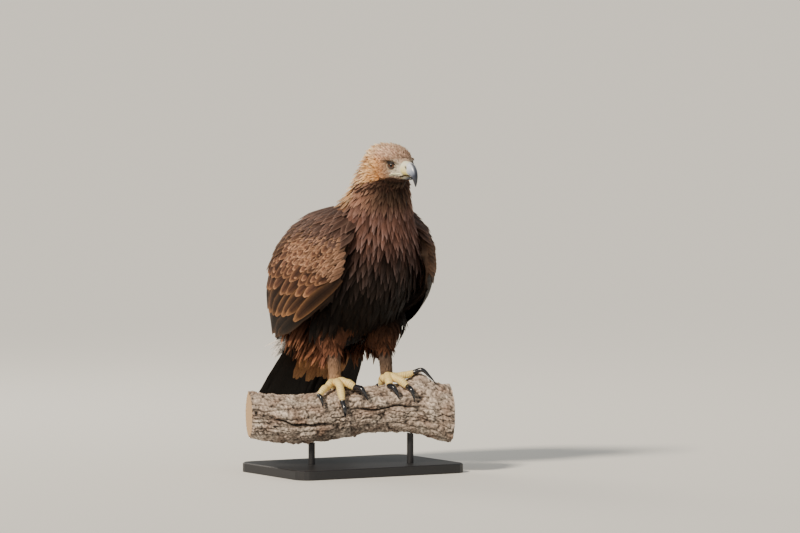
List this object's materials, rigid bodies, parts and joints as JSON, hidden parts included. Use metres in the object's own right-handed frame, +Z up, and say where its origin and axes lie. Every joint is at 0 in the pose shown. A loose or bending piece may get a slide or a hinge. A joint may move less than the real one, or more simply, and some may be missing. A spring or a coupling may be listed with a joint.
{
  "type": "golden eagle model",
  "caption": "Life-size still golden eagle that grips a short length of branch, held by two rods on a flat base.",
  "frame": {"origin": "centre of the flat underside of the stand's base", "axes": "+Z up, the bird faces -Y and its left side is +X"},
  "size_m": [0.4407, 0.5104, 0.6961],
  "materials": {
    "dark_plumage": "matt, long dark brown body feathers",
    "golden_hackles": "matt, pointed golden feathers",
    "wing_feathers": "matt brown vanes with paler edges",
    "tail_feathers": "matt, nearly black vanes",
    "rufous_trousers": "matt, loose rufous brown feathers",
    "leg_feathers": "matt, short pale brown feathers",
    "yellow_skin": "scaly yellow skin",
    "dark_horn": "smooth black horn",
    "slate_horn": "smooth blue-grey horn",
    "eye": "wet, glossy amber-brown",
    "bark": "rough, furrowed bark",
    "dark_stand": "satin black paint"
  },
  "bodies": {
    "root": {"torso": "dark_plumage", "neck": "golden_hackles", "head": "golden_hackles", "cere": "yellow_skin", "bill_upper": "slate_horn", "bill_lower": "slate_horn", "eye_left": "eye", "eye_right": "eye", "wing_left": "wing_feathers", "wing_right": "wing_feathers", "tail": "tail_feathers", "thigh_left": "rufous_trousers", "thigh_right": "rufous_trousers", "tarsus_left": "leg_feathers", "tarsus_right": "leg_feathers", "foot_left": "yellow_skin", "foot_right": "yellow_skin", "claw_hallux_left": "dark_horn", "claw_hallux_right": "dark_horn", "claw_inner_left": "dark_horn", "claw_inner_right": "dark_horn", "claw_middle_left": "dark_horn", "claw_middle_right": "dark_horn", "claw_outer_left": "dark_horn", "claw_outer_right": "dark_horn", "perch": "bark", "stand_base": "dark_stand", "stand_rod_left": "dark_stand", "stand_rod_right": "dark_stand"}
  },
  "joints": []
}
